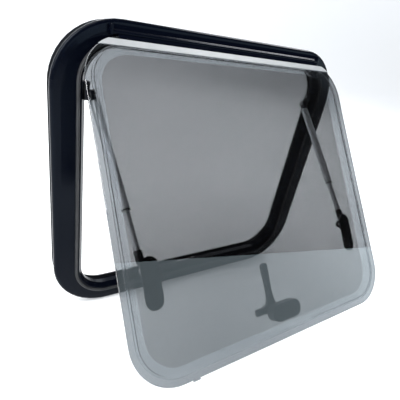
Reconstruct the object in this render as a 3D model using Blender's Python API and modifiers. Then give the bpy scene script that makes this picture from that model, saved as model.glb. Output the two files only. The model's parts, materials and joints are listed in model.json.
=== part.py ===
"""Top-hung window of a caravan: a double acrylic sash in a black frame, open on two telescopic stays.

World frame: X runs along the window, -Y points out of the vehicle, +Z is up. The origin is the centre of the
wall cut-out, in the plane where the flange's back face meets the wall. Units are metres.
Sash frame: its origin is on the hinge axis, -Y points out through the pane, and the pane hangs down -Z.
"""

import math
from collections import namedtuple

import bmesh
import bpy
from mathutils import Matrix, Vector

Screw = namedtuple("Screw", "head_radius head_height shank_radius shank_length")

GAP = 0.0003
CORNER_STEPS = 12
ROUND_STEPS = 24
SMALL_STEPS = 16
HOLE_STEPS = 12

# Outer frame. An inset is measured inwards from the flange's outer edge
FRAME_WIDTH = 0.540
FRAME_HEIGHT = 0.480
FRAME_CORNER = 0.093
FLANGE_THICKNESS = 0.0092
FLANGE_OVERLAP = 0.020
FLANGE_CHAMFER = 0.0015
CROWN_RADIUS = 0.0055
CROWN_SLOPE_END = 0.0130
CROWN_SLOPE_DEPTH = 0.0005
SPIGOT_WALL = 0.004
SPIGOT_DEPTH = 0.023
SPIGOT_CHAMFER = 0.0006
LIP_BACK = 0.0090
LIP_EDGE = 0.0010
WALL_THICKNESS = 0.024

# Outer pane, hinge axis and open angle
OPEN_ANGLE = math.radians(37.5)
HINGE_Y = -0.0145
HINGE_DROP = 0.0163
PANE_WIDTH = 0.478
PANE_HEIGHT = 0.439
PANE_CORNER = 0.061
PANE_THICKNESS = 0.0035
PANE_DROP = 0.0055
PANE_EDGE = 0.0006
GATE_TAB_LEFT = -0.1660
GATE_TAB_WIDTH = 0.0100
GATE_TAB_REACH = 0.0022

# Aperture and seals. A sash inset is measured inwards from the closed pane's edge
APERTURE_INSET = 0.0150
LIP_SLOPE_INSET = 0.0095
LIP_SLOPE_END = -0.0020
SEAL_OUTER = 0.0020
SEAL_INNER = 0.0070
SEAL_FLOOR = -0.0055
SEAL_BULB = 0.0012
GASKET_OUTER = 0.0070
GASKET_INNER = 0.0130
GASKET_DEPTH = 0.0020

# Inner clamp ring, its screws and the bosses that they bite into
RING_OUTER = 0.0030
RING_FACE_END = 0.0190
RING_INNER = 0.0290
RING_RELIEF = 0.0009
RING_THICKNESS = 0.0039
RING_EDGE = 0.0012
RING_ROLL_WIDTH = 0.0040
RING_ROLL_DEPTH = 0.0024
CLAMP_SCREW = Screw(0.0034, 0.0020, 0.0017, 0.0175)
CLAMP_SCREW_INSET = 0.0240
CLAMP_SCREW_SPREAD_X = 0.120
CLAMP_SCREW_SPREAD_Z = 0.085
BOSS_RADIUS = 0.0038

# Formed inner pane: side inset, top and bottom inset, corner radius, share of the way from rim to face
TRAY_THICKNESS = 0.0023
SASH_DEPTH = 0.014
TRAY_SECTION = (
    (0.0085, 0.0085, 0.0520, 0.0),
    (0.0118, 0.0110, 0.0500, 0.0),
    (0.0130, 0.0120, 0.0490, 0.125),
    (0.0200, 0.0155, 0.0460, 0.85),
    (0.0230, 0.0178, 0.0440, 1.0),
)

# Hinge: a bead on the sash turns in the rail's round channel
BEAD_RADIUS = 0.0018
BEAD_HALF_LENGTH = 0.188
BEAD_NECK = 0.0006
RAIL_BORE = 0.00215
RAIL_RADIUS = 0.0035
RAIL_TOP = 0.0095
RAIL_HALF_LENGTH = 0.194
RAIL_KEY_LOW = 0.0040
RAIL_KEY_HIGH = 0.0080
RAIL_KEY_DEPTH = 0.0020
RAIL_MOUTH_IN = math.radians(24)
RAIL_MOUTH_OUT = math.radians(64)
END_CAP_LENGTH = 0.0037
PROFILE_THICKNESS = 0.0016
WEB_TOP = -0.0039
STRIP_TOP = 0.0050
STRIP_BOTTOM = 0.0135

# Latch
LATCH_DROP = 0.400
LATCH_BASE_LEFT = -0.0130
LATCH_BASE_RIGHT = 0.0450
LATCH_BASE_LOW = -0.0190
LATCH_BASE_HIGH = 0.0070
LATCH_BASE_HEIGHT = 0.0142
LATCH_ROUNDING = 0.0012
LATCH_SCREW = Screw(0.0042, 0.0018, 0.0022, 0.0140)
LEVER_THICKNESS = 0.006
LEVER_LENGTH = 0.070
LEVER_CROWN = 0.0012
GRIP_RADIUS = 0.0058
TONGUE_LENGTH = 0.031
KEEPER_Z = -0.2110
KEEPER_HALF_WIDTH = 0.0240
KEEPER_HALF_HEIGHT = 0.0040
KEEPER_THICKNESS = 0.0018
KEEPER_SCREW = Screw(0.0024, 0.0012, 0.0013, 0.0075)
KEEPER_SCREW_X = 0.0185

# Stays, from the pad on the sash up to the bracket in the aperture
STAY_DROP = 0.298
STAY_STANDOFF = 0.0095
STAY_SASH_X = 0.199
STAY_FRAME_X = 0.2125
STAY_FRAME_Y = 0.0045
STAY_FRAME_Z = 0.140
TUBE_RADIUS = 0.0063
TUBE_WALL = 0.0012
TUBE_START = 0.013
TUBE_LENGTH = 0.158
TUBE_EDGE = 0.0004
ROD_RADIUS = 0.0043
ROD_START = 0.014
ROD_TUCK = 0.060
EYE_RADIUS = 0.0058
EYE_WIDTH = 0.006
EYE_TAIL_HALF = 0.0040
EYE_TAIL_LENGTH = 0.0125
PLUG_DEPTH = 0.0190
PLUG_LIP = 0.0015
SOCKET_RADIUS = 0.0056
SOCKET_START = 0.0088
SOCKET_LENGTH = 0.0172
SOCKET_FLOOR = 0.0040
BUSH_FLANGE = 0.0018
BUSH_DEPTH = 0.0082
PIN_RADIUS = 0.002
PIN_HEAD_RADIUS = 0.0036
PIN_HEAD_HEIGHT = 0.0012
PIN_LENGTH = 0.0136
RIVET_HEAD_RADIUS = 0.0038
RIVET_HEAD_HEIGHT = 0.0011

# Stay pads and brackets
PAD_X = 0.1932
PAD_HALF_WIDTH = 0.0122
PAD_ABOVE = 0.0170
PAD_BELOW = 0.0500
PAD_THICKNESS = 0.0033
LUG_RADIUS = 0.0062
LUG_FOOT = 0.0230
LUG_THICKNESS = 0.0085
BRACKET_FRONT = 0.0045
BRACKET_BACK = 0.0048
BRACKET_BELOW = 0.0080
BRACKET_ABOVE = 0.0169
BRACKET_SIDE_GAP = 0.0014
BRACKET_SCREW = Screw(0.0026, 0.0014, 0.0013, 0.0145)
BRACKET_SCREW_RISE = 0.0143
SOFT_EDGE = 0.0008

# Worked out from the sizes above
FLANGE_FRONT = -FLANGE_THICKNESS
SPIGOT_INNER = FLANGE_OVERLAP + SPIGOT_WALL
RING_FRONT = WALL_THICKNESS + GAP
RING_BACK = RING_FRONT + RING_THICKNESS
HINGE_Z = FRAME_HEIGHT / 2 - HINGE_DROP
HINGE_AXIS = Vector((0.0, HINGE_Y, HINGE_Z))
SASH_PLACE = Matrix.Translation(HINGE_AXIS) @ Matrix.Rotation(-OPEN_ANGLE, 4, "X")
PANE_OUTER = -PANE_THICKNESS / 2
PANE_INNER = PANE_THICKNESS / 2
PANE_TOP = -PANE_DROP
PANE_BOTTOM = PANE_TOP - PANE_HEIGHT
TRAY_BACK = PANE_OUTER + SASH_DEPTH
FITTING_FACE = TRAY_BACK + GAP
LEVER_BACK = FITTING_FACE + LATCH_BASE_HEIGHT + GAP
LATCH_Z = PANE_TOP - LATCH_DROP
STAY_Y = TRAY_BACK + STAY_STANDOFF
STAY_Z = PANE_TOP - STAY_DROP
APERTURE_HALF_WIDTH = PANE_WIDTH / 2 - APERTURE_INSET
BRACKET_SCREW_Z = STAY_FRAME_Z + BRACKET_SCREW_RISE
BRACKET_FACE_X = STAY_FRAME_X + EYE_WIDTH / 2 + BRACKET_SIDE_GAP


# Scene helpers

def clear_scene():
    for obj in list(bpy.data.objects):
        bpy.data.objects.remove(obj, do_unlink=True)


def new_collection(name):
    collection = bpy.data.collections.new(name)
    bpy.context.scene.collection.children.link(collection)
    return collection


def make_material(name, colour, roughness, metallic=0.0, alpha=1.0):
    material = bpy.data.materials.new(name)
    material.use_nodes = True
    shader = material.node_tree.nodes["Principled BSDF"]
    shader.inputs["Base Color"].default_value = (*colour, 1.0)
    shader.inputs["Roughness"].default_value = roughness
    shader.inputs["Metallic"].default_value = metallic
    shader.inputs["Alpha"].default_value = alpha
    material.diffuse_color = (*colour, alpha)
    return material


def add_object(name, mesh, material, parent=None):
    """Puts a piece in the parts collection, or a cutter, which has no material, in the cutters'."""
    obj = bpy.data.objects.new(name, mesh)
    if material is None:
        CUTTERS.objects.link(obj)
        obj.hide_render = True
        obj.display_type = "WIRE"
    else:
        PARTS.objects.link(obj)
        mesh.materials.append(material)
    obj.parent = parent
    return obj


def add_empty(name, parent, matrix):
    empty = bpy.data.objects.new(name, None)
    PARTS.objects.link(empty)
    empty.parent = parent
    empty.matrix_local = matrix
    return empty


def finish_mesh(bm, name, smooth_angle=32.0):
    """Turns a closed bmesh into a mesh with its faces pointing out and its rounds shaded smooth."""
    bmesh.ops.remove_doubles(bm, verts=bm.verts, dist=1e-6)
    bmesh.ops.recalc_face_normals(bm, faces=bm.faces)
    mesh = bpy.data.meshes.new(name)
    bm.to_mesh(mesh)
    bm.free()
    mesh.shade_smooth()
    mesh.set_sharp_from_angle(angle=math.radians(smooth_angle))
    return mesh


def apply_boolean(target, tool, operation):
    modifier = target.modifiers.new(operation.lower() + "_" + tool.name, "BOOLEAN")
    modifier.operation = operation
    modifier.object = tool
    modifier.solver = "EXACT"


def aim(obj, place, axis):
    """Moves an object to a place, with its own Z along the axis."""
    obj.location = place
    obj.rotation_euler = Vector(axis).to_track_quat("Z", "Y").to_euler()


# Shape helpers

def rounded_loop(half_width, top, bottom, radius):
    """Points (x, z) of a rounded rectangle, anticlockwise from the right side."""
    points = []
    corners = (
        (half_width - radius, top - radius, 0),
        (-half_width + radius, top - radius, 90),
        (-half_width + radius, bottom + radius, 180),
        (half_width - radius, bottom + radius, 270),
    )
    for x, z, start in corners:
        for step in range(CORNER_STEPS + 1):
            angle = math.radians(start + 90 * step / CORNER_STEPS)
            points.append((x + radius * math.cos(angle), z + radius * math.sin(angle)))
    return points


def capsule_outline(x_low, x_high, z_low, z_high):
    """Points (x, z) of a plate whose short sides are full rounds."""
    radius = min(x_high - x_low, z_high - z_low) / 2
    middle = (x_low + x_high) / 2
    loop = rounded_loop((x_high - x_low) / 2, z_high, z_low, radius)
    return [(middle + x, z) for x, z in loop]


def frame_row(inset, y):
    """A loop of the frame, inset from the flange's outer edge."""
    half_height = FRAME_HEIGHT / 2 - inset
    loop = rounded_loop(FRAME_WIDTH / 2 - inset, half_height, -half_height, FRAME_CORNER - inset)
    return [Vector((x, y, z)) for x, z in loop]


def closed_pane_row(inset, y):
    """A loop of the frame that follows the closed sash, inset from the outer pane's edge."""
    top = HINGE_Z + PANE_TOP - inset
    bottom = HINGE_Z + PANE_BOTTOM + inset
    loop = rounded_loop(PANE_WIDTH / 2 - inset, top, bottom, PANE_CORNER - inset)
    return [Vector((x, y, z)) for x, z in loop]


def sash_row(side_inset, end_inset, radius, y):
    """A loop of the sash in its own frame, inset from the outer pane's sides and from its top and bottom."""
    loop = rounded_loop(PANE_WIDTH / 2 - side_inset, PANE_TOP - end_inset, PANE_BOTTOM + end_inset, radius)
    return [Vector((x, y, z)) for x, z in loop]


def rounded_edge(inset, face, width, depth, steps):
    """Points (inset, y) of a quarter ellipse from a side over to a face; depth runs into the material."""
    points = []
    for step in range(steps + 1):
        angle = math.radians(90 * step / steps)
        points.append((inset + width * (1 - math.cos(angle)), face + depth * (1 - math.sin(angle))))
    return points


def bridge_rows(bm, rows, closed):
    rings = [[bm.verts.new(point) for point in row] for row in rows]
    pairs = list(zip(rings, rings[1:]))
    if closed:
        pairs.append((rings[-1], rings[0]))
    for first, second in pairs:
        count = len(first)
        for index in range(count):
            following = (index + 1) % count
            bm.faces.new((first[index], first[following], second[following], second[index]))
    return rings


def add_ring(name, rows, material):
    """A ring whose section passes through the rows and closes on itself."""
    bm = bmesh.new()
    bridge_rows(bm, rows, closed=True)
    return add_object(name, finish_mesh(bm, name), material)


def add_loft(name, rows, material, parent=None, smooth_angle=32.0):
    """A solid through the rows, capped at the first and the last."""
    bm = bmesh.new()
    rings = bridge_rows(bm, rows, closed=False)
    bm.faces.new(rings[0])
    bm.faces.new(rings[-1])
    return add_object(name, finish_mesh(bm, name, smooth_angle), material, parent)


def add_prism(name, outline, sweep, material, parent=None):
    """A flat outline swept along a vector."""
    bm = bmesh.new()
    face = bm.faces.new([bm.verts.new(point) for point in outline])
    swept = bmesh.ops.extrude_face_region(bm, geom=[face])["geom"]
    far_end = [item for item in swept if isinstance(item, bmesh.types.BMVert)]
    bmesh.ops.translate(bm, verts=far_end, vec=Vector(sweep))
    return add_object(name, finish_mesh(bm, name), material, parent)


def add_box(name, low, high, material, parent=None, bevel=0.0):
    low, high = Vector(low), Vector(high)
    bm = bmesh.new()
    bmesh.ops.create_cube(bm, size=1.0)
    bmesh.ops.scale(bm, verts=bm.verts, vec=high - low)
    bmesh.ops.translate(bm, verts=bm.verts, vec=(low + high) / 2)
    obj = add_object(name, finish_mesh(bm, name), material, parent)
    if bevel:
        modifier = obj.modifiers.new("edge_round", "BEVEL")
        modifier.width = bevel
        modifier.segments = 2
    return obj


def add_turned(name, profile, base, axis, material, parent=None, steps=ROUND_STEPS, hollow=False):
    """A turned piece: profile is (radius, height) up its outer side and, if it is hollow, down its bore."""
    points = list(profile)
    if not hollow:
        points = [(0.0, points[0][1]), *points, (0.0, points[-1][1])]
    bm = bmesh.new()
    verts = [bm.verts.new((radius, 0.0, height)) for radius, height in reversed(points)]
    for first, second in zip(verts, verts[1:]):
        bm.edges.new((first, second))
    if hollow:
        bm.edges.new((verts[-1], verts[0]))
    mesh = bpy.data.meshes.new(name)
    bm.to_mesh(mesh)
    bm.free()
    obj = add_object(name, mesh, material, parent)
    aim(obj, base, axis)
    turn = obj.modifiers.new("turn", "SCREW")
    turn.steps = steps
    turn.render_steps = steps
    turn.use_merge_vertices = True
    turn.merge_threshold = 0.00001
    turn.use_smooth_shade = True
    return obj


def add_cylinder_cutter(name, radius, start, axis, length, parent, steps=HOLE_STEPS):
    bm = bmesh.new()
    bmesh.ops.create_cone(bm, cap_ends=True, segments=steps, radius1=radius, radius2=radius, depth=length)
    bmesh.ops.translate(bm, verts=bm.verts, vec=(0.0, 0.0, length / 2))
    cutter = add_object(name, finish_mesh(bm, name), None, parent)
    aim(cutter, start, axis)
    return cutter


def cut_hole(target, name, radius, start, axis, length, steps=HOLE_STEPS):
    """Drills a round hole; start is in the frame of the target's parent."""
    cutter = add_cylinder_cutter(name, radius, start, axis, length, target.parent, steps)
    apply_boolean(target, cutter, "DIFFERENCE")


def inset_outline(points, amount):
    """The outline drawn in by amount on every side, for small rounds on a near-oval shape."""
    xs = [x for x, _ in points]
    zs = [z for _, z in points]
    middle_x, middle_z = (min(xs) + max(xs)) / 2, (min(zs) + max(zs)) / 2
    scale_x = 1 - 2 * amount / (max(xs) - min(xs))
    scale_z = 1 - 2 * amount / (max(zs) - min(zs))
    return [(middle_x + (x - middle_x) * scale_x, middle_z + (z - middle_z) * scale_z) for x, z in points]


def add_pillow(name, points, y_low, y_high, rounding, material, parent=None):
    """A plate over an (x, z) outline with its far edge rounded."""
    edge = rounded_edge(0.0, y_high, rounding, -rounding, 3)
    rows = [[Vector((x, y_low, z)) for x, z in points]]
    for amount, y in edge:
        rows.append([Vector((x, y, z)) for x, z in inset_outline(points, amount)])
    return add_loft(name, rows, material, parent)


def add_screw(name, screw, seat, direction, parent=None):
    """A pan-head screw seated at seat, its head on the side that direction points to, with a cross recess."""
    profile = (
        (0.4 * screw.shank_radius, -screw.shank_length),
        (screw.shank_radius, -0.85 * screw.shank_length),
        (screw.shank_radius, 0.0),
        (screw.head_radius, 0.0),
        (screw.head_radius, 0.45 * screw.head_height),
        (0.62 * screw.head_radius, screw.head_height),
    )
    body = add_turned(name, profile, seat, direction, STEEL, parent, SMALL_STEPS)
    arm, half_width, floor = 0.55 * screw.head_radius, 0.13 * screw.head_radius, 0.45 * screw.head_height
    quarter = ((arm, -half_width), (arm, half_width), (half_width, half_width))
    outline = []
    for turns in range(4):
        turn = Matrix.Rotation(math.radians(90 * turns), 4, "Z")
        outline += [turn @ Vector((x, y, floor)) for x, y in quarter]
    recess = add_prism(name + "_recess", outline, (0.0, 0.0, screw.head_height), None, parent)
    aim(recess, seat, direction)
    apply_boolean(body, recess, "DIFFERENCE")


def side_name(side):
    return "right" if side > 0 else "left"


# Frame pieces

def clamp_screw_places():
    """(x, z) of the screws round the frame, two on each side, between the spigot and the lip."""
    x_side = FRAME_WIDTH / 2 - CLAMP_SCREW_INSET
    z_side = FRAME_HEIGHT / 2 - CLAMP_SCREW_INSET
    places = []
    for x, z in ((x_side, CLAMP_SCREW_SPREAD_Z), (CLAMP_SCREW_SPREAD_X, z_side)):
        places += [(x, z), (x, -z), (-x, z), (-x, -z)]
    return places


def make_outer_frame():
    """The moulded ring: outer flange, seal groove, sloping lip round the aperture, spigot into the wall."""
    crown = rounded_edge(0.0, FLANGE_FRONT + CROWN_SLOPE_DEPTH, CROWN_RADIUS, CROWN_RADIUS, 6)
    rows = [frame_row(FLANGE_CHAMFER, 0.0), frame_row(0.0, -FLANGE_CHAMFER)]
    rows += [frame_row(inset, y) for inset, y in crown]
    rows += [
        frame_row(CROWN_SLOPE_END, FLANGE_FRONT),
        closed_pane_row(SEAL_OUTER - GAP, FLANGE_FRONT),
        closed_pane_row(SEAL_OUTER - GAP, SEAL_FLOOR),
        closed_pane_row(SEAL_INNER + GAP, SEAL_FLOOR),
        closed_pane_row(SEAL_INNER + GAP, FLANGE_FRONT),
        closed_pane_row(LIP_SLOPE_INSET, FLANGE_FRONT),
        closed_pane_row(APERTURE_INSET - LIP_EDGE, LIP_SLOPE_END),
        closed_pane_row(APERTURE_INSET, LIP_SLOPE_END + LIP_EDGE),
        closed_pane_row(APERTURE_INSET, LIP_BACK - LIP_EDGE),
        closed_pane_row(APERTURE_INSET - LIP_EDGE, LIP_BACK),
        frame_row(SPIGOT_INNER, LIP_BACK),
        frame_row(SPIGOT_INNER, SPIGOT_DEPTH),
        frame_row(FLANGE_OVERLAP + SPIGOT_CHAMFER, SPIGOT_DEPTH),
        frame_row(FLANGE_OVERLAP, SPIGOT_DEPTH - SPIGOT_CHAMFER),
        frame_row(FLANGE_OVERLAP, 0.0),
        frame_row(GASKET_INNER + GAP, 0.0),
        frame_row(GASKET_INNER + GAP, -GASKET_DEPTH),
        frame_row(GASKET_OUTER - GAP, -GASKET_DEPTH),
        frame_row(GASKET_OUTER - GAP, 0.0),
    ]
    frame = add_ring("outer_frame", rows, FRAME_BLACK)
    add_screw_bosses(frame)
    cut_rail_slot(frame)
    for side in (-1, 1):
        name = side_name(side)
        start = (side * KEEPER_SCREW_X, LIP_BACK - 0.0065, KEEPER_Z)
        cut_hole(frame, f"keeper_hole_{name}", KEEPER_SCREW.shank_radius + GAP, start, (0, 1, 0), 0.010)
        start = (side * (APERTURE_HALF_WIDTH - 0.001), STAY_FRAME_Y, BRACKET_SCREW_Z)
        radius = BRACKET_SCREW.shank_radius + GAP
        cut_hole(frame, f"bracket_hole_{name}", radius, start, (side, 0, 0), 0.012)


def add_screw_bosses(frame):
    """Round pillars on the lip's back, each with a blind hole for its clamp screw."""
    sunk = 0.0013
    height = SPIGOT_DEPTH - LIP_BACK + 0.001
    for index, (x, z) in enumerate(clamp_screw_places(), 1):
        start = (x, LIP_BACK - sunk, z)
        boss = add_cylinder_cutter(f"boss_{index}", BOSS_RADIUS, start, (0, 1, 0), height, None, SMALL_STEPS)
        apply_boolean(frame, boss, "UNION")
        floor = (x, LIP_BACK + 0.001, z)
        radius = CLAMP_SCREW.shank_radius + GAP
        cut_hole(frame, f"boss_hole_{index}", radius, floor, (0, 1, 0), WALL_THICKNESS)


def cut_rail_slot(frame):
    """The slot in the flange's face that the hinge rail's key sits in."""
    half_length = RAIL_HALF_LENGTH + GAP
    low = (-half_length, FLANGE_FRONT - 0.001, HINGE_Z + RAIL_KEY_LOW - GAP)
    high = (half_length, FLANGE_FRONT + RAIL_KEY_DEPTH + GAP, HINGE_Z + RAIL_KEY_HIGH + GAP)
    slot = add_box("rail_slot", low, high, None)
    apply_boolean(frame, slot, "DIFFERENCE")


def make_sash_seal():
    """The bulb seal in the frame's groove, which the closed sash presses on."""
    base = SEAL_FLOOR - GAP
    shoulder = FLANGE_FRONT - 0.0004
    crest = HINGE_Y + PANE_INNER + GAP
    middle = (SEAL_OUTER + SEAL_INNER) / 2
    rows = [
        closed_pane_row(SEAL_OUTER, base),
        closed_pane_row(SEAL_OUTER, shoulder),
        closed_pane_row(SEAL_OUTER + SEAL_BULB / 2, crest + SEAL_BULB),
        closed_pane_row(middle - SEAL_BULB / 2, crest),
        closed_pane_row(middle + SEAL_BULB / 2, crest),
        closed_pane_row(SEAL_INNER - SEAL_BULB / 2, crest + SEAL_BULB),
        closed_pane_row(SEAL_INNER, shoulder),
        closed_pane_row(SEAL_INNER, base),
    ]
    add_ring("sash_seal", rows, RUBBER)


def make_wall_gasket():
    """The flat gasket between the flange and the wall."""
    low, high = -GASKET_DEPTH + GAP, -GAP / 2
    rows = [
        frame_row(GASKET_OUTER, low),
        frame_row(GASKET_OUTER, high),
        frame_row(GASKET_INNER, high),
        frame_row(GASKET_INNER, low),
    ]
    add_ring("wall_gasket", rows, RUBBER)


def make_clamp_ring():
    """The ring on the room side, drawn towards the flange by its screws, so that the two grip the wall."""
    roll = rounded_edge(RING_OUTER, RING_BACK, RING_ROLL_WIDTH, -RING_ROLL_DEPTH, 3)
    rows = [
        frame_row(RING_OUTER, RING_FRONT),
        frame_row(RING_FACE_END, RING_FRONT),
        frame_row(RING_FACE_END, RING_FRONT + RING_RELIEF),
        frame_row(RING_INNER, RING_FRONT + RING_RELIEF),
        frame_row(RING_INNER, RING_BACK - RING_EDGE),
        frame_row(RING_INNER - RING_EDGE, RING_BACK),
    ]
    rows += [frame_row(inset, y) for inset, y in reversed(roll)]
    ring = add_ring("inner_clamp_ring", rows, RING_BLACK)
    for index, (x, z) in enumerate(clamp_screw_places(), 1):
        start = (x, RING_FRONT - RING_THICKNESS, z)
        radius = CLAMP_SCREW.shank_radius + GAP
        cut_hole(ring, f"ring_hole_{index}", radius, start, (0, 1, 0), 3 * RING_THICKNESS)
        add_screw(f"clamp_screw_{index}", CLAMP_SCREW, (x, RING_BACK + GAP, z), (0, 1, 0))


# Hinge pieces

def arc_points(radius, start, end, count):
    """(y, z) points round the hinge axis; the angle runs from straight down towards -Y."""
    points = []
    for step in range(count + 1):
        angle = start + (end - start) * step / count
        points.append((-radius * math.sin(angle), -radius * math.cos(angle)))
    return points


def make_hinge_rail():
    """The fixed half: a round channel open downwards and outwards, on a base keyed into the flange's face."""
    base = FLANGE_FRONT - HINGE_Y - GAP
    key = base + RAIL_KEY_DEPTH
    full_turn = 2 * math.pi
    bore = arc_points(RAIL_BORE, full_turn - RAIL_MOUTH_IN, RAIL_MOUTH_OUT, 16)
    front = arc_points(RAIL_RADIUS, RAIL_MOUTH_OUT, math.radians(180), 7)
    back = arc_points(RAIL_RADIUS, math.radians(290), full_turn - RAIL_MOUTH_IN, 3)
    spine = [
        (0.0010, RAIL_RADIUS + 0.0006),
        (0.0030, RAIL_TOP),
        (base, RAIL_TOP),
        (base, RAIL_KEY_HIGH),
        (key, RAIL_KEY_HIGH),
        (key, RAIL_KEY_LOW),
        (base, RAIL_KEY_LOW),
        (base, -0.0010),
    ]
    outline = [Vector((-RAIL_HALF_LENGTH, HINGE_Y + y, HINGE_Z + z)) for y, z in front + spine + back + bore]
    add_prism("hinge_rail", outline, (2 * RAIL_HALF_LENGTH, 0, 0), RAIL_BLACK)


def make_hinge_end_cap(side):
    near = side * (RAIL_HALF_LENGTH + GAP)
    far = near + side * END_CAP_LENGTH
    reach = RAIL_RADIUS - 0.0001
    low = (min(near, far), HINGE_Y - reach, HINGE_Z - reach)
    high = (max(near, far), FLANGE_FRONT - GAP, HINGE_Z + RAIL_TOP)
    add_box(f"hinge_end_cap_{side_name(side)}", low, high, FITTING_BLACK, bevel=SOFT_EDGE)


def make_hinge_profile(sash):
    """The sash half: bead, neck and web above the pane, and a leg down the pane's outer face."""
    mouth = math.asin(BEAD_NECK / BEAD_RADIUS)
    bead = arc_points(BEAD_RADIUS, mouth, 2 * math.pi - mouth, 16)
    web_bottom = PANE_TOP + GAP
    leg_back = PANE_OUTER - GAP
    leg_front = leg_back - PROFILE_THICKNESS
    leg_end = PANE_TOP - STRIP_TOP + GAP
    section = bead + [
        (BEAD_NECK, WEB_TOP),
        (PANE_INNER, WEB_TOP),
        (PANE_INNER, web_bottom),
        (leg_back, web_bottom),
        (leg_back, leg_end),
        (leg_front, leg_end),
        (leg_front, WEB_TOP - 0.0005),
        (leg_front + 0.0005, WEB_TOP),
        (-BEAD_NECK, WEB_TOP),
    ]
    outline = [Vector((-BEAD_HALF_LENGTH, y, z)) for y, z in section]
    add_prism("hinge_profile", outline, (2 * BEAD_HALF_LENGTH, 0, 0), RAIL_BLACK, sash)


def strip_outline(top, bottom):
    """A band across the pane between two heights: (x, z), with ends that follow the pane's corners."""
    centre_x = PANE_WIDTH / 2 - PANE_CORNER
    centre_z = PANE_TOP - PANE_CORNER
    low = math.asin((bottom - centre_z) / PANE_CORNER)
    high = math.asin((top - centre_z) / PANE_CORNER)
    steps = 5
    right = []
    for step in range(steps + 1):
        angle = low + (high - low) * step / steps
        right.append((centre_x + PANE_CORNER * math.cos(angle), centre_z + PANE_CORNER * math.sin(angle)))
    left = [(-x, z) for x, z in reversed(right)]
    return right + left


def make_trim_strip(sash):
    """The bright strip along the pane's top edge, its ends running out along the pane's round corners."""
    outline = strip_outline(PANE_TOP - STRIP_TOP, PANE_TOP - STRIP_BOTTOM)
    points = [Vector((x, PANE_OUTER - GAP, z)) for x, z in outline]
    add_prism("hinge_trim_strip", points, (0, -PROFILE_THICKNESS, 0), ALUMINIUM, sash)


# Panes

def make_outer_pane(sash):
    """The flat outer sheet with softened edges, and the moulding gate's small tab on its lower edge."""
    edge = PANE_EDGE
    rows = [
        sash_row(edge, edge, PANE_CORNER - edge, PANE_INNER),
        sash_row(0.0, 0.0, PANE_CORNER, PANE_INNER - edge),
        sash_row(0.0, 0.0, PANE_CORNER, PANE_OUTER + edge),
        sash_row(edge, edge, PANE_CORNER - edge, PANE_OUTER),
    ]
    pane = add_loft("outer_pane", rows, ACRYLIC, sash)
    low = (GATE_TAB_LEFT, PANE_OUTER + SOFT_EDGE, PANE_BOTTOM - GATE_TAB_REACH)
    high = (GATE_TAB_LEFT + GATE_TAB_WIDTH, PANE_INNER - SOFT_EDGE, PANE_BOTTOM + GATE_TAB_REACH)
    tab = add_box("gate_tab", low, high, None, sash)
    apply_boolean(pane, tab, "UNION")


def make_inner_pane(sash):
    """The formed inner pane, an open sheet given its thickness: bonding rim, sloping walls and flat face."""
    rim = PANE_INNER + GAP + TRAY_THICKNESS / 2
    face = TRAY_BACK - TRAY_THICKNESS / 2
    rows = []
    for side_inset, end_inset, radius, share in TRAY_SECTION:
        rows.append(sash_row(side_inset, end_inset, radius, rim + share * (face - rim)))
    bm = bmesh.new()
    rings = bridge_rows(bm, rows, closed=False)
    bm.faces.new(rings[-1])
    sheet = add_object("inner_pane", finish_mesh(bm, "inner_pane"), ACRYLIC, sash)
    solid = sheet.modifiers.new("sheet", "SOLIDIFY")
    solid.thickness = TRAY_THICKNESS
    solid.offset = 0.0
    solid.use_even_offset = True


# Latch

def make_latch_base(sash):
    outline = capsule_outline(
        LATCH_BASE_LEFT, LATCH_BASE_RIGHT, LATCH_Z + LATCH_BASE_LOW, LATCH_Z + LATCH_BASE_HIGH
    )
    top = FITTING_FACE + LATCH_BASE_HEIGHT
    base = add_pillow("latch_base", outline, FITTING_FACE, top, LATCH_ROUNDING, FITTING_BLACK, sash)
    start = (0, FITTING_FACE + 0.004, LATCH_Z)
    cut_hole(base, "latch_base_hole", LATCH_SCREW.shank_radius + GAP, start, (0, 1, 0), 0.030, SMALL_STEPS)
    seat = (0, LEVER_BACK + LEVER_THICKNESS + GAP, LATCH_Z)
    add_screw("latch_pivot_screw", LATCH_SCREW, seat, (0, 1, 0), sash)


def lever_outline():
    """(x, z) about the pivot: handle arm up with a round end, and a wedge tongue to the left."""
    points = [(0.0095, -0.0030), (0.0090, 0.0065), (0.0062, 0.0150), (0.0050, 0.0300)]
    grip_z = LEVER_LENGTH - GRIP_RADIUS
    steps = 8
    for step in range(steps + 1):
        angle = math.radians(-14 + 208 * step / steps)
        points.append((GRIP_RADIUS * math.cos(angle), grip_z + GRIP_RADIUS * math.sin(angle)))
    points += [(-0.0042, 0.0320), (-0.0048, 0.0150), (-0.0085, 0.0075), (-0.0190, 0.0040)]
    points += [(-TONGUE_LENGTH, 0.0050), (-TONGUE_LENGTH, -0.0050), (-0.0160, -0.0050), (-0.0085, -0.0065)]
    points += [(-0.0030, -0.0095), (0.0045, -0.0085)]
    return points


def make_lever(latch):
    """The turning handle, built about the pivot in the latch's own frame, with a slightly drawn-in crown."""
    outline = lever_outline()
    shoulder = LEVER_BACK + LEVER_THICKNESS - LEVER_CROWN
    top = LEVER_BACK + LEVER_THICKNESS
    rows = [
        [Vector((x, LEVER_BACK, z)) for x, z in outline],
        [Vector((x, shoulder, z)) for x, z in outline],
        [Vector((0.94 * x, top, 0.985 * z)) for x, z in outline],
    ]
    lever = add_loft("latch_lever", rows, FITTING_BLACK, latch, smooth_angle=40.0)
    start = (0, LEVER_BACK - 0.005, 0)
    cut_hole(lever, "lever_hole", LATCH_SCREW.shank_radius + GAP, start, (0, 1, 0), 0.020, SMALL_STEPS)


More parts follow.
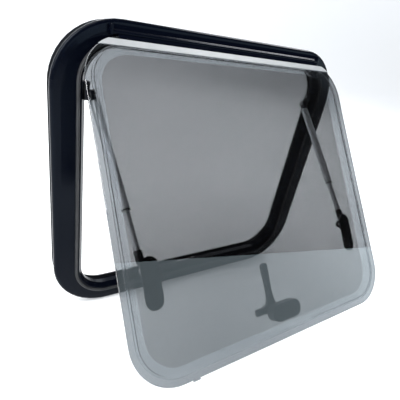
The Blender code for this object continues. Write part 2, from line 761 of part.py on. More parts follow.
def make_keeper():
    """The steel wear plate on the back of the lower lip, which the latch's tongue slides behind."""
    outline = capsule_outline(
        -KEEPER_HALF_WIDTH, KEEPER_HALF_WIDTH, KEEPER_Z - KEEPER_HALF_HEIGHT, KEEPER_Z + KEEPER_HALF_HEIGHT
    )
    low = LIP_BACK + GAP
    high = low + KEEPER_THICKNESS
    keeper = add_pillow("latch_keeper", outline, low, high, 0.0005, STEEL)
    for side in (-1, 1):
        name = side_name(side)
        x = side * KEEPER_SCREW_X
        start = (x, LIP_BACK - 0.002, KEEPER_Z)
        radius = KEEPER_SCREW.shank_radius + GAP
        cut_hole(keeper, f"keeper_plate_hole_{name}", radius, start, (0, 1, 0), 0.008)
        add_screw(f"keeper_screw_{name}", KEEPER_SCREW, (x, high + GAP, KEEPER_Z), (0, 1, 0))


# Stays. Each is built in its own frame: origin on the pad's pivot, +Z along the stay towards the bracket

def make_stay_frame(side, sash):
    """The stay's empty at rest, and the length from its lower pivot to its upper one."""
    foot = SASH_PLACE @ Vector((side * STAY_SASH_X, STAY_Y, STAY_Z))
    head = Vector((side * STAY_FRAME_X, STAY_FRAME_Y, STAY_FRAME_Z))
    along = (head - foot).normalized()
    across = (Vector((1, 0, 0)) - along * along.x).normalized()
    world = Matrix((across, along.cross(across), along)).transposed().to_4x4()
    world.translation = foot
    axis = add_empty(f"stay_axis_{side_name(side)}", sash, SASH_PLACE.inverted() @ world)
    return axis, (head - foot).length


def eye_outline(reach):
    """(y, z) of a flat eye round the origin with a straight tail along +Z."""
    steps = 12
    points = []
    for step in range(steps + 1):
        angle = math.radians(150 + 240 * step / steps)
        points.append((EYE_RADIUS * math.cos(angle), EYE_RADIUS * math.sin(angle)))
    neck = EYE_RADIUS + 0.0010
    tail = [(EYE_TAIL_HALF, neck), (EYE_TAIL_HALF, reach), (-EYE_TAIL_HALF, reach), (-EYE_TAIL_HALF, neck)]
    return points + tail


def add_eye(name, centre, facing, reach, frame):
    """A flat eye with its pivot hole at a height on the stay's axis, its tail facing up (1) or down (-1)."""
    outline = [Vector((-EYE_WIDTH / 2, y, centre + facing * z)) for y, z in eye_outline(reach)]
    return add_prism(name, outline, (EYE_WIDTH, 0, 0), FITTING_BLACK, frame)


def cut_pivot_hole(eye, centre):
    cut_hole(eye, eye.name + "_hole", PIN_RADIUS + GAP, (-0.015, 0, centre), (1, 0, 0), 0.030, SMALL_STEPS)


def make_rod_socket(name, frame):
    """The moulded lower end: an eye on the pad's pin and a round socket that holds the rod."""
    eye = add_eye(f"stay_socket_{name}", 0.0, 1, SOCKET_START + 0.002, frame)
    profile = ((SOCKET_RADIUS - SOFT_EDGE, 0.0), (SOCKET_RADIUS, 0.0010), (SOCKET_RADIUS, SOCKET_LENGTH))
    start = (0, 0, SOCKET_START)
    socket = add_turned(f"socket_sleeve_{name}", profile, start, (0, 0, 1), None, frame, 20)
    apply_boolean(eye, socket, "UNION")
    floor = (0, 0, SOCKET_START + SOCKET_FLOOR)
    cut_hole(eye, f"socket_bore_{name}", ROD_RADIUS + GAP, floor, (0, 0, 1), SOCKET_LENGTH, ROUND_STEPS)
    cut_pivot_hole(eye, 0.0)


def make_rod(name, frame, tube_near):
    rod_length = tube_near + ROD_TUCK - ROD_START
    profile = ((ROD_RADIUS - 0.0005, 0.0), (ROD_RADIUS, 0.0005), (ROD_RADIUS, rod_length))
    add_turned(f"stay_rod_{name}", profile, (0, 0, ROD_START), (0, 0, 1), ALUMINIUM, frame)


def make_tube(name, frame, tube_near):
    inner = TUBE_RADIUS - TUBE_WALL
    profile = (
        (TUBE_RADIUS - TUBE_EDGE, 0.0),
        (TUBE_RADIUS, TUBE_EDGE),
        (TUBE_RADIUS, TUBE_LENGTH - TUBE_EDGE),
        (TUBE_RADIUS - TUBE_EDGE, TUBE_LENGTH),
        (inner, TUBE_LENGTH),
        (inner, 0.0),
    )
    add_turned(f"stay_tube_{name}", profile, (0, 0, tube_near), (0, 0, 1), ALUMINIUM, frame, hollow=True)


def make_guide_bush(name, frame, tube_near):
    """The flanged bush in the tube's mouth, which the rod slides through."""
    outer = TUBE_RADIUS - TUBE_WALL - GAP / 2
    inner = ROD_RADIUS + GAP
    end = BUSH_FLANGE + BUSH_DEPTH
    profile = (
        (TUBE_RADIUS, 0.0),
        (TUBE_RADIUS, BUSH_FLANGE),
        (outer, BUSH_FLANGE),
        (outer, end),
        (inner, end),
        (inner, 0.0),
    )
    base = (0, 0, tube_near - BUSH_FLANGE - GAP)
    add_turned(f"stay_bush_{name}", profile, base, (0, 0, 1), FITTING_BLACK, frame, hollow=True)


def make_upper_eye(name, frame, length):
    """The eye beside the bracket, with a plug that fills the tube's far end."""
    eye = add_eye(f"stay_eye_{name}", length, -1, EYE_TAIL_LENGTH, frame)
    radius = TUBE_RADIUS - TUBE_WALL - GAP
    profile = (
        (radius - 0.0006, 0.0),
        (radius, 0.0010),
        (radius, PLUG_DEPTH),
        (TUBE_RADIUS, PLUG_DEPTH),
        (TUBE_RADIUS, PLUG_DEPTH + PLUG_LIP),
    )
    base = (0, 0, length - TUBE_START - PLUG_DEPTH + GAP)
    plug = add_turned(f"eye_plug_{name}", profile, base, (0, 0, 1), None, frame, 20)
    apply_boolean(eye, plug, "UNION")
    cut_pivot_hole(eye, length)


def make_rivet(side, name, frame, length):
    """The headed rivet in the upper eye, its head on the side away from the bracket."""
    profile = (
        (PIN_RADIUS, 0.0),
        (PIN_RADIUS, EYE_WIDTH + GAP),
        (RIVET_HEAD_RADIUS, EYE_WIDTH + GAP),
        (0.9 * RIVET_HEAD_RADIUS, EYE_WIDTH + GAP + RIVET_HEAD_HEIGHT),
    )
    tip = (side * EYE_WIDTH / 2, 0, length)
    add_turned(f"stay_rivet_{name}", profile, tip, (-side, 0, 0), STEEL, frame, SMALL_STEPS)


def make_pad(side, name, sash):
    """The moulded pad bonded to the inner pane, with one lug beside the socket's eye."""
    middle = side * PAD_X
    low_x, high_x = middle - PAD_HALF_WIDTH, middle + PAD_HALF_WIDTH
    outline = capsule_outline(low_x, high_x, STAY_Z - PAD_BELOW, STAY_Z + PAD_ABOVE)
    top = FITTING_FACE + PAD_THICKNESS
    pad = add_pillow(f"stay_pad_{name}", outline, FITTING_FACE, top, LATCH_ROUNDING, FITTING_BLACK, sash)
    lug_x = side * (STAY_SASH_X - EYE_WIDTH / 2 - GAP)
    foot_y = FITTING_FACE + 0.0010
    steps = 8
    lug_outline = []
    for step in range(steps + 1):
        angle = math.radians(180 * step / steps)
        y, z = STAY_Y + LUG_RADIUS * math.sin(angle), STAY_Z + LUG_RADIUS * math.cos(angle)
        lug_outline.append(Vector((lug_x, y, z)))
    lug_outline += [Vector((lug_x, foot_y, STAY_Z - LUG_FOOT)), Vector((lug_x, foot_y, STAY_Z + LUG_RADIUS))]
    lug = add_prism(f"pad_lug_{name}", lug_outline, (-side * LUG_THICKNESS, 0, 0), None, sash)
    apply_boolean(pad, lug, "UNION")
    start = (middle - 0.020, STAY_Y, STAY_Z)
    cut_hole(pad, f"pad_pin_hole_{name}", PIN_RADIUS + GAP, start, (1, 0, 0), 0.040, SMALL_STEPS)


def make_pin(side, name, sash):
    """The headed pin through the lug and the socket's eye, its head outside the eye."""
    profile = (
        (PIN_RADIUS - 0.0003, 0.0),
        (PIN_RADIUS, 0.0006),
        (PIN_RADIUS, PIN_LENGTH),
        (PIN_HEAD_RADIUS, PIN_LENGTH),
        (0.9 * PIN_HEAD_RADIUS, PIN_LENGTH + PIN_HEAD_HEIGHT),
    )
    tip = (side * (STAY_SASH_X + EYE_WIDTH / 2 + GAP - PIN_LENGTH), STAY_Y, STAY_Z)
    add_turned(f"stay_pin_{name}", profile, tip, (side, 0, 0), STEEL, sash, SMALL_STEPS)


def make_bracket(side, name):
    """The bracket screwed to the aperture's side wall, beside the stay's upper eye."""
    wall_x = APERTURE_HALF_WIDTH - GAP
    low_x, high_x = sorted((side * wall_x, side * BRACKET_FACE_X))
    low = (low_x, STAY_FRAME_Y - BRACKET_FRONT, STAY_FRAME_Z - BRACKET_BELOW)
    high = (high_x, STAY_FRAME_Y + BRACKET_BACK, STAY_FRAME_Z + BRACKET_ABOVE)
    bracket = add_box(f"stay_bracket_{name}", low, high, FITTING_BLACK, bevel=SOFT_EDGE)
    start = (side * (BRACKET_FACE_X - 0.005), STAY_FRAME_Y, BRACKET_SCREW_Z)
    cut_hole(bracket, f"bracket_bore_{name}", BRACKET_SCREW.shank_radius + GAP, start, (side, 0, 0), 0.020)
    seat = (side * (BRACKET_FACE_X - GAP), STAY_FRAME_Y, BRACKET_SCREW_Z)
    add_screw(f"bracket_screw_{name}", BRACKET_SCREW, seat, (-side, 0, 0))


def make_stay(side, sash):
    """One telescopic stay with its pad, pin and bracket."""
    name = side_name(side)
    frame, length = make_stay_frame(side, sash)
    tube_near = length - TUBE_START - TUBE_LENGTH
    make_rod_socket(name, frame)
    make_rod(name, frame, tube_near)
    make_tube(name, frame, tube_near)
    make_guide_bush(name, frame, tube_near)
    make_upper_eye(name, frame, length)
    make_rivet(side, name, frame, length)
    make_pad(side, name, sash)
    make_pin(side, name, sash)
    make_bracket(side, name)


# The whole window

clear_scene()
PARTS = new_collection("caravan_window")
CUTTERS = new_collection("cutters")

FRAME_BLACK = make_material("frame_black_gloss", (0.010, 0.012, 0.018), 0.18)
RING_BLACK = make_material("clamp_ring_black", (0.020, 0.022, 0.026), 0.42)
RUBBER = make_material("seal_rubber", (0.018, 0.018, 0.020), 0.75)
RAIL_BLACK = make_material("rail_black", (0.015, 0.016, 0.018), 0.40, metallic=0.6)
ALUMINIUM = make_material("satin_aluminium", (0.78, 0.79, 0.80), 0.32, metallic=1.0)
STEEL = make_material("zinc_steel", (0.55, 0.56, 0.58), 0.35, metallic=1.0)
ACRYLIC = make_material("smoked_acrylic", (0.55, 0.62, 0.68), 0.05, alpha=0.35)
FITTING_BLACK = make_material("fitting_black", (0.016, 0.020, 0.028), 0.38)

SASH = add_empty("sash_hinge_axis", None, SASH_PLACE)
LATCH = add_empty("latch_turn_axis", SASH, Matrix.Translation((0.0, 0.0, LATCH_Z)))

make_outer_frame()
make_sash_seal()
make_wall_gasket()
make_clamp_ring()
make_hinge_rail()
make_hinge_profile(SASH)
make_trim_strip(SASH)
make_outer_pane(SASH)
make_inner_pane(SASH)
make_latch_base(SASH)
make_lever(LATCH)
make_keeper()
for window_side in (-1, 1):
    make_hinge_end_cap(window_side)
    make_stay(window_side, SASH)
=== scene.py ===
"""Looks of a caravan's top-hung window: materials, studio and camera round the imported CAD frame."""

import json
import math
from collections import namedtuple

import bmesh
import bpy
from mathutils import Matrix, Vector


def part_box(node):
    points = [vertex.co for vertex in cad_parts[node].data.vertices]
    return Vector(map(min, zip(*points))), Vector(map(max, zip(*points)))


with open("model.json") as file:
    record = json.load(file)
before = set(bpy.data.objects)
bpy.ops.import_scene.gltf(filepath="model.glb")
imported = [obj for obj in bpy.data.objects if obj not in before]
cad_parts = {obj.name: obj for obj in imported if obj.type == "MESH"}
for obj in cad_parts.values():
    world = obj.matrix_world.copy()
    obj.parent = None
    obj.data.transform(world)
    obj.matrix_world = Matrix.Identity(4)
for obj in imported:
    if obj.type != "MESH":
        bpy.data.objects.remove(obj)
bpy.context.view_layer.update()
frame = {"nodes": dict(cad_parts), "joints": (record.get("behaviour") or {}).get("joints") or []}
NODES = frame["nodes"]


# Where the open sash stands

SASH_JOINT = next(joint for joint in frame["joints"] if joint["name"] == "sash_hinge")
HINGE = Vector(SASH_JOINT["pos_m"])
OPEN_ANGLE = math.radians(37.5)
SASH_NORMAL = Matrix.Rotation(-OPEN_ANGLE, 3, "X") @ Vector((0.0, 1.0, 0.0))


# Panes: depths are measured behind the hinge axis, square to the sash

TRAY_BACK = 0.01225
TRAY_FLAT_START = TRAY_BACK - 0.0050
TRAY_FLAT_END = TRAY_BACK - 0.0040
ACRYLIC_IOR = 1.49
PANE_SMOKE = (0.236, 0.250, 0.262)
SMEAR_SHADE = 0.97
TRAY_FACE = (0.72, 0.70, 0.69)
TRAY_WALL = (0.97, 0.98, 0.99)


# Colours of the opaque materials

GLOSS_BLACK = (0.0010, 0.0016, 0.0042)
GLOSS_DUST = (0.045, 0.050, 0.058)
GLOSS_TINT = (0.72, 0.84, 1.0, 1.0)
GLOSS_SPECULAR = 0.10
FITTING_BLACK = (0.006, 0.009, 0.015)
RING_BLACK = (0.016, 0.018, 0.022)
WORN_EDGE_GAIN = 2.2
WORN_EDGE_LIFT = 0.006
RUBBER = (0.014, 0.015, 0.017)
RUBBER_CLEAN = (0.012, 0.013, 0.015)
RUBBER_BLOOM = (0.040, 0.042, 0.045)
TUBE_ALUMINIUM = (0.90, 0.93, 0.96)
STRIP_ALUMINIUM = (0.52, 0.53, 0.54)
DULL_METAL = 0.84
ZINC = (0.56, 0.57, 0.58)
ZINC_DARK = (0.46, 0.48, 0.51)
ZINC_PALE = (0.66, 0.66, 0.64)
FLOOR_GREY = (0.80, 0.81, 0.82)
FLOOR_GLOW = (0.97, 0.98, 1.0, 1.0)
FLOOR_GLOW_STRENGTH = 0.30


# Stage: a floor that curves up into a backdrop

FRAME_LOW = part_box("outer_frame")[0]
FLOOR_LEVEL = FRAME_LOW.z - 0.0005
FLOOR_FRONT = -4.0
FLOOR_BACK = 2.2
SWEEP_RADIUS = 1.2
SWEEP_STEPS = 12
BACKDROP_HEIGHT = 4.0
STAGE_HALF_WIDTH = 14.0


# Light

WORLD_COLOUR = (0.93, 0.96, 1.0, 1.0)
WORLD_STRENGTH = 0.65
DARK_SIDE = Vector((0.53, -0.63, 0.57))
DARK_STRENGTH = 0.03
DARK_FADE_START = 0.25
DARK_FADE_END = 0.85

WHITE = (1.0, 1.0, 1.0)
PALE_BLUE = (0.76, 0.92, 1.0)
AreaLight = namedtuple("AreaLight", "name place target width height watts colour mirrored roll")
LIGHTS = (
    AreaLight("key_behind", (-0.9, 1.1, 2.3), (0.0, 0.0, 0.0), 2.4, 2.0, 25.0, WHITE, True, 0.0),
    AreaLight("back_bank", (1.3, 2.0, 1.25), (0.0, 0.0, 0.1), 2.6, 0.8, 22.0, WHITE, True, 0.0),
    AreaLight("left_strip", (-1.7, -0.2, 1.15), (0.0, 0.0, 0.0), 0.5, 1.6, 28.0, WHITE, True, 0.0),
    AreaLight("right_top", (1.5, 0.40, 2.0), (0.0, 0.0, 0.1), 1.0, 1.0, 36.0, WHITE, True, 0.0),
    AreaLight("top_bank", (-0.75, -0.80, 1.75), (-0.20, -0.10, -0.05), 1.3, 0.45, 26.0, WHITE, False, 0.0),
    AreaLight("front_panel", (1.62, -2.0, 0.44), (1.62, 0.0, 0.44), 4.4, 1.08, 26.0, PALE_BLUE, True, -10.4),
)


# Camera

SENSOR_WIDTH = 36.0
LENS = 31.25
CLIP_START = 0.01
CAMERA_PLACE = Vector((-0.3591, -0.4869, 0.2583))
CAMERA_RIGHT = Vector((0.8399, -0.5149, 0.1715))
CAMERA_DOWN = Vector((-0.1135, -0.4756, -0.8723))
CAMERA_FORWARD = Vector((0.5307, 0.7132, -0.4579))


# Node helpers

class Shader:
    """A Principled material with short calls for the usual patterns."""

    def __init__(self, name, colour, roughness, metallic=0.0):
        self.material = bpy.data.materials.new(name)
        self.material.use_nodes = True
        self.nodes = self.material.node_tree.nodes
        self.links = self.material.node_tree.links
        self.bsdf = self.nodes["Principled BSDF"]
        self.normal = None
        self.set("Base Color", (*colour, 1.0))
        self.set("Roughness", roughness)
        self.set("Metallic", metallic)
        self.material.diffuse_color = (*colour, 1.0)

    def set(self, socket, value):
        self.bsdf.inputs[socket].default_value = value

    def drive(self, socket, output):
        self.link(output, self.bsdf.inputs[socket])

    def link(self, output, socket):
        self.links.new(output, socket)

    def position(self, stretch):
        """The piece's own coordinates, scaled along each axis."""
        coordinates = self.nodes.new("ShaderNodeTexCoord")
        mapping = self.nodes.new("ShaderNodeMapping")
        mapping.inputs["Scale"].default_value = stretch
        self.link(coordinates.outputs["Object"], mapping.inputs["Vector"])
        return mapping.outputs["Vector"]

    def noise(self, scale, detail, stretch=(1.0, 1.0, 1.0)):
        texture = self.nodes.new("ShaderNodeTexNoise")
        texture.inputs["Scale"].default_value = scale
        texture.inputs["Detail"].default_value = detail
        self.link(self.position(stretch), texture.inputs["Vector"])
        return texture.outputs["Fac"]

    def specks(self, scale, size):
        """Small round specks: 1 in a speck's middle, falling to 0 at its rim."""
        texture = self.nodes.new("ShaderNodeTexVoronoi")
        texture.inputs["Scale"].default_value = scale
        self.link(self.position((1.0, 1.0, 1.0)), texture.inputs["Vector"])
        return self.remap(texture.outputs["Distance"], (0.0, size), (1.0, 0.0))

    def remap(self, value, span, result):
        """Maps the span (low, high) of an output onto the result (low, high)."""
        node = self.nodes.new("ShaderNodeMapRange")
        node.inputs["From Min"].default_value = span[0]
        node.inputs["From Max"].default_value = span[1]
        node.inputs["To Min"].default_value = result[0]
        node.inputs["To Max"].default_value = result[1]
        self.link(value, node.inputs["Value"])
        return node.outputs["Result"]

    def combine(self, operation, first, second):
        node = self.nodes.new("ShaderNodeMath")
        node.operation = operation
        self.link(first, node.inputs[0])
        self.link(second, node.inputs[1])
        return node.outputs["Value"]

    def add(self, first, second):
        return self.combine("ADD", first, second)

    def multiply(self, first, second):
        return self.combine("MULTIPLY", first, second)

    def mix(self, factor, first, second):
        """Blends two plain colours."""
        node = self.nodes.new("ShaderNodeMix")
        node.data_type = "RGBA"
        self.link(factor, node.inputs["Factor"])
        sockets = [socket for socket in node.inputs if socket.type == "RGBA"]
        for socket, colour in zip(sockets, (first, second)):
            socket.default_value = (*colour, 1.0)
        return next(output for output in node.outputs if output.type == "RGBA")

    def bump(self, height, strength, distance):
        """Adds one layer of relief on top of those already there."""
        node = self.nodes.new("ShaderNodeBump")
        node.inputs["Strength"].default_value = strength
        node.inputs["Distance"].default_value = distance
        self.link(height, node.inputs["Height"])
        if self.normal is not None:
            self.link(self.normal, node.inputs["Normal"])
        self.normal = node.outputs["Normal"]
        self.drive("Normal", self.normal)

    def sash_depth(self, low, high):
        """0 below and 1 above a depth behind the hinge axis, measured square to the sash."""
        place = self.nodes.new("ShaderNodeTexCoord")
        turn = self.nodes.new("ShaderNodeVectorRotate")
        turn.rotation_type = "X_AXIS"
        turn.inputs["Angle"].default_value = OPEN_ANGLE
        turn.inputs["Center"].default_value = HINGE
        self.link(place.outputs["Object"], turn.inputs["Vector"])
        split = self.nodes.new("ShaderNodeSeparateXYZ")
        self.link(turn.outputs["Vector"], split.inputs["Vector"])
        return self.remap(split.outputs["Y"], (HINGE.y + low, HINGE.y + high), (0.0, 1.0))

    def facing_sash(self):
        """1 on faces parallel to the sash, 0 on sloping ones."""
        geometry = self.nodes.new("ShaderNodeNewGeometry")
        convert = self.nodes.new("ShaderNodeVectorTransform")
        convert.vector_type = "NORMAL"
        convert.convert_from = "WORLD"
        convert.convert_to = "OBJECT"
        self.link(geometry.outputs["True Normal"], convert.inputs["Vector"])
        dot = self.nodes.new("ShaderNodeVectorMath")
        dot.operation = "DOT_PRODUCT"
        dot.inputs[1].default_value = SASH_NORMAL
        self.link(convert.outputs["Vector"], dot.inputs[0])
        size = self.nodes.new("ShaderNodeMath")
        size.operation = "ABSOLUTE"
        self.link(dot.outputs["Value"], size.inputs[0])
        return self.remap(size.outputs["Value"], (0.970, 0.995), (0.0, 1.0))

    def edge(self, radius):
        """1 where the surface turns within the radius, 0 on flat parts."""
        bevel = self.nodes.new("ShaderNodeBevel")
        bevel.inputs["Radius"].default_value = radius
        bevel.samples = 4
        geometry = self.nodes.new("ShaderNodeNewGeometry")
        dot = self.nodes.new("ShaderNodeVectorMath")
        dot.operation = "DOT_PRODUCT"
        self.link(bevel.outputs["Normal"], dot.inputs[0])
        self.link(geometry.outputs["Normal"], dot.inputs[1])
        return self.remap(dot.outputs["Value"], (0.97, 0.80), (0.0, 1.0))


# Materials

def gloss_frame_material():
    """Glossy navy-black moulding with a faint orange peel, wipe marks and settled dust."""
    shader = Shader("frame_gloss", GLOSS_BLACK, roughness=0.16)
    wipe = shader.noise(scale=14.0, detail=4.0, stretch=(1.0, 1.0, 0.35))
    dust = shader.specks(scale=420.0, size=0.09)
    wiped = shader.remap(wipe, (0.35, 0.7), (0.11, 0.22))
    dusty = shader.remap(dust, (0.0, 1.0), (0.0, 0.3))
    shader.drive("Base Color", shader.mix(dust, GLOSS_BLACK, GLOSS_DUST))
    shader.drive("Roughness", shader.add(wiped, dusty))
    shader.bump(shader.noise(scale=520.0, detail=2.0), strength=0.05, distance=0.00015)
    shader.bump(shader.noise(scale=22.0, detail=1.0), strength=0.03, distance=0.0012)
    shader.set("Specular IOR Level", GLOSS_SPECULAR)
    shader.set("Specular Tint", GLOSS_TINT)
    return shader.material


def satin_plastic_material(name, colour):
    """Moulded black plastic: spark-eroded grain, slightly polished and paler on its edges."""
    shader = Shader(name, colour, roughness=0.38)
    edge = shader.edge(radius=0.0006)
    patches = shader.noise(scale=60.0, detail=4.0)
    pale = tuple(channel * WORN_EDGE_GAIN + WORN_EDGE_LIFT for channel in colour)
    grained = shader.remap(patches, (0.3, 0.7), (0.30, 0.44))
    polished = shader.remap(edge, (0.0, 1.0), (0.0, -0.10))
    shader.drive("Base Color", shader.mix(shader.multiply(edge, patches), colour, pale))
    shader.drive("Roughness", shader.add(grained, polished))
    shader.bump(shader.noise(scale=1400.0, detail=2.0), strength=0.18, distance=0.00008)
    return shader.material


def rubber_material():
    """Extruded black rubber with a patchy grey bloom."""
    shader = Shader("seal_rubber", RUBBER, roughness=0.62)
    patches = shader.noise(scale=34.0, detail=5.0)
    bloom = shader.remap(patches, (0.45, 0.75), (0.0, 1.0))
    shader.drive("Base Color", shader.mix(bloom, RUBBER_CLEAN, RUBBER_BLOOM))
    shader.drive("Roughness", shader.remap(patches, (0.3, 0.7), (0.48, 0.70)))
    shader.bump(shader.noise(scale=900.0, detail=2.0), strength=0.2, distance=0.00008)
    return shader.material


def aluminium_material(name, stretch, colour, roughness, metallic):
    """Drawn or brushed aluminium: fine lines along the piece and a slow change of shade."""
    shader = Shader(name, colour, roughness, metallic)
    lines = shader.noise(scale=1300.0, detail=3.0, stretch=stretch)
    broad = shader.noise(scale=30.0, detail=3.0)
    dull = tuple(channel * DULL_METAL for channel in colour)
    brushed = shader.remap(lines, (0.3, 0.7), (-0.06, 0.08))
    worn = shader.remap(broad, (0.3, 0.7), (roughness, roughness + 0.08))
    shader.drive("Base Color", shader.mix(shader.remap(broad, (0.3, 0.7), (0.0, 1.0)), colour, dull))
    shader.drive("Roughness", shader.add(brushed, worn))
    shader.bump(lines, strength=0.25, distance=0.00006)
    return shader.material


def zinc_material():
    """Zinc-plated steel: a cloudy film, slightly polished edges and a very fine grain."""
    shader = Shader("zinc_steel", ZINC, roughness=0.34, metallic=1.0)
    cloud = shader.noise(scale=260.0, detail=4.0)
    film = shader.remap(cloud, (0.3, 0.7), (0.26, 0.42))
    polished = shader.remap(shader.edge(radius=0.0003), (0.0, 1.0), (0.0, -0.10))
    shader.drive("Base Color", shader.mix(cloud, ZINC_DARK, ZINC_PALE))
    shader.drive("Roughness", shader.add(film, polished))
    shader.bump(shader.noise(scale=1800.0, detail=2.0), strength=0.12, distance=0.00005)
    return shader.material


def outer_acrylic_material():
    """The outer pane: smoked acrylic with hairline scratches, faint smears and a slow waviness."""
    shader = Shader("outer_acrylic", PANE_SMOKE, roughness=0.0)
    smear = shader.noise(scale=9.0, detail=4.0, stretch=(1.0, 0.6, 1.4))
    hairlines = shader.noise(scale=420.0, detail=2.0, stretch=(1.0, 0.15, 0.03))
    smeared = tuple(channel * SMEAR_SHADE for channel in PANE_SMOKE)
    shader.drive("Base Color", shader.mix(shader.remap(smear, (0.35, 0.7), (0.0, 1.0)), PANE_SMOKE, smeared))
    shader.drive("Roughness", shader.remap(shader.add(smear, hairlines), (0.9, 1.35), (0.0, 0.03)))
    shader.bump(shader.noise(scale=7.0, detail=1.0), strength=0.05, distance=0.0015)
    shader.set("IOR", ACRYLIC_IOR)
    shader.set("Transmission Weight", 1.0)
    return shader.material


def inner_acrylic_material():
    """The inner pane: a faint warm tint on its flat face, clearer and slightly hazy on its formed walls."""
    shader = Shader("inner_acrylic", TRAY_FACE, roughness=0.0)
    flat = shader.multiply(shader.sash_depth(TRAY_FLAT_START, TRAY_FLAT_END), shader.facing_sash())
    smear = shader.noise(scale=9.0, detail=4.0, stretch=(1.0, 0.6, 1.4))
    smeared = shader.remap(smear, (0.35, 0.75), (0.0, 0.03))
    hazy = shader.remap(flat, (0.0, 1.0), (0.08, 0.0))
    shader.drive("Base Color", shader.mix(flat, TRAY_WALL, TRAY_FACE))
    shader.drive("Roughness", shader.add(smeared, hazy))
    shader.bump(shader.noise(scale=7.0, detail=1.0), strength=0.05, distance=0.0015)
    shader.set("IOR", ACRYLIC_IOR)
    shader.set("Transmission Weight", 1.0)
    return shader.material


def stage_material():
    """The floor's pale matt paint."""
    shader = Shader("stage_pale", FLOOR_GREY, roughness=0.9)
    shader.set("Specular IOR Level", 0.1)
    shader.set("Emission Color", FLOOR_GLOW)
    shader.set("Emission Strength", FLOOR_GLOW_STRENGTH)
    return shader.material


def paint(node, material):
    obj = NODES[node]
    if not obj.material_slots:
        obj.data.materials.append(material)
    for slot in obj.material_slots:
        slot.material = material


def paint_nodes():
    """Gives each CAD node its material; what is not named here is a moulded plastic fitting."""
    plastic = satin_plastic_material("fitting_black", FITTING_BLACK)
    ring = satin_plastic_material("clamp_ring_black", RING_BLACK)
    rubber = rubber_material()
    tube = aluminium_material("drawn_tube", (1.0, 0.05, 0.05), TUBE_ALUMINIUM, 0.30, 0.3)
    strip = aluminium_material("strip_aluminium", (0.02, 1.0, 1.0), STRIP_ALUMINIUM, 0.34, 0.45)
    zinc = zinc_material()
    gloss = gloss_frame_material()
    outer = outer_acrylic_material()
    inner = inner_acrylic_material()
    for name in NODES:
        if name == "hinge_trim_strip":
            paint(name, strip)
        elif name == "outer_frame" or name.startswith("hinge_"):
            paint(name, gloss)
        elif name == "inner_clamp_ring":
            paint(name, ring)
        elif name in ("wall_gasket", "sash_seal"):
            paint(name, rubber)
        elif name == "outer_pane":
            paint(name, outer)
        elif name == "inner_pane":
            paint(name, inner)
        elif name.startswith(("stay_rod", "stay_tube")):
            paint(name, tube)
        elif "screw" in name or name.startswith(("stay_pin", "stay_rivet")) or name == "latch_keeper":
            paint(name, zinc)
        else:
            paint(name, plastic)


# Studio and camera

def link_to_scene(name, data):
    obj = bpy.data.objects.new(name, data)
    bpy.context.scene.collection.objects.link(obj)
    return obj


def stage_profile():
    """The stage's side view from front to top: floor, quarter-round sweep and backdrop."""
    profile = [(FLOOR_FRONT, FLOOR_LEVEL), (FLOOR_BACK, FLOOR_LEVEL)]
    for step in range(1, SWEEP_STEPS + 1):
        angle = math.radians(90 * step / SWEEP_STEPS)
        across = FLOOR_BACK + SWEEP_RADIUS * math.sin(angle)
        up = FLOOR_LEVEL + SWEEP_RADIUS * (1 - math.cos(angle))
        profile.append((across, up))
    profile.append((FLOOR_BACK + SWEEP_RADIUS, FLOOR_LEVEL + BACKDROP_HEIGHT))
    return profile


def make_stage():
    profile = stage_profile()
    bm = bmesh.new()
    left = [bm.verts.new((-STAGE_HALF_WIDTH, y, z)) for y, z in profile]
    right = [bm.verts.new((STAGE_HALF_WIDTH, y, z)) for y, z in profile]
    for index in range(len(profile) - 1):
        bm.faces.new((left[index], right[index], right[index + 1], left[index + 1]))
    mesh = bpy.data.meshes.new("stage")
    bm.to_mesh(mesh)
    bm.free()
    mesh.shade_smooth()
    mesh.materials.append(stage_material())
    link_to_scene("stage", mesh)


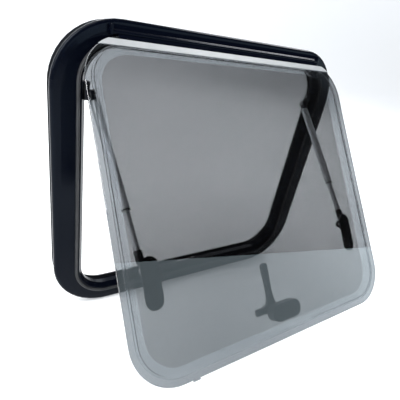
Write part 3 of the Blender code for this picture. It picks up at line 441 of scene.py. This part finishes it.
def make_world():
    """An even pale surround. Mirror images of it fade to dark in front, to the right and above."""
    world = bpy.data.worlds.new("studio")
    world.use_nodes = True
    nodes = world.node_tree.nodes
    links = world.node_tree.links
    background = nodes["Background"]
    background.inputs["Color"].default_value = WORLD_COLOUR
    direction = nodes.new("ShaderNodeTexCoord")
    facing = nodes.new("ShaderNodeVectorMath")
    facing.operation = "DOT_PRODUCT"
    facing.inputs[1].default_value = DARK_SIDE.normalized()
    links.new(direction.outputs["Generated"], facing.inputs[0])
    fade = nodes.new("ShaderNodeMapRange")
    fade.interpolation_type = "SMOOTHSTEP"
    fade.inputs["From Min"].default_value = DARK_FADE_START
    fade.inputs["From Max"].default_value = DARK_FADE_END
    fade.inputs["To Min"].default_value = WORLD_STRENGTH
    fade.inputs["To Max"].default_value = DARK_STRENGTH
    links.new(facing.outputs["Value"], fade.inputs["Value"])
    ray = nodes.new("ShaderNodeLightPath")
    strength = nodes.new("ShaderNodeMix")
    strength.inputs["A"].default_value = WORLD_STRENGTH
    links.new(ray.outputs["Is Glossy Ray"], strength.inputs["Factor"])
    links.new(fade.outputs["Result"], strength.inputs["B"])
    links.new(strength.outputs["Result"], background.inputs["Strength"])
    bpy.context.scene.world = world


def make_light(spec):
    """A rectangular lamp that looks at its target, rolled about its own beam."""
    lamp = bpy.data.lights.new(spec.name, "AREA")
    lamp.shape = "RECTANGLE"
    lamp.size = spec.width
    lamp.size_y = spec.height
    lamp.energy = spec.watts
    lamp.color = spec.colour
    obj = link_to_scene(spec.name, lamp)
    obj.location = spec.place
    beam = Vector(spec.target) - Vector(spec.place)
    obj.rotation_euler = beam.to_track_quat("-Z", "Y").to_euler()
    obj.rotation_euler.rotate_axis("Z", math.radians(spec.roll))
    obj.visible_glossy = spec.mirrored


def make_camera():
    camera = bpy.data.cameras.new("camera")
    camera.sensor_width = SENSOR_WIDTH
    camera.lens = LENS
    camera.clip_start = CLIP_START
    obj = link_to_scene("camera", camera)
    axes = Matrix((CAMERA_RIGHT, -CAMERA_DOWN, -CAMERA_FORWARD)).transposed().to_4x4()
    axes.translation = CAMERA_PLACE
    obj.matrix_world = axes
    bpy.context.scene.camera = obj


paint_nodes()
make_stage()
make_world()
for light in LIGHTS:
    make_light(light)
make_camera()
bpy.context.scene.view_settings.view_transform = "Standard"
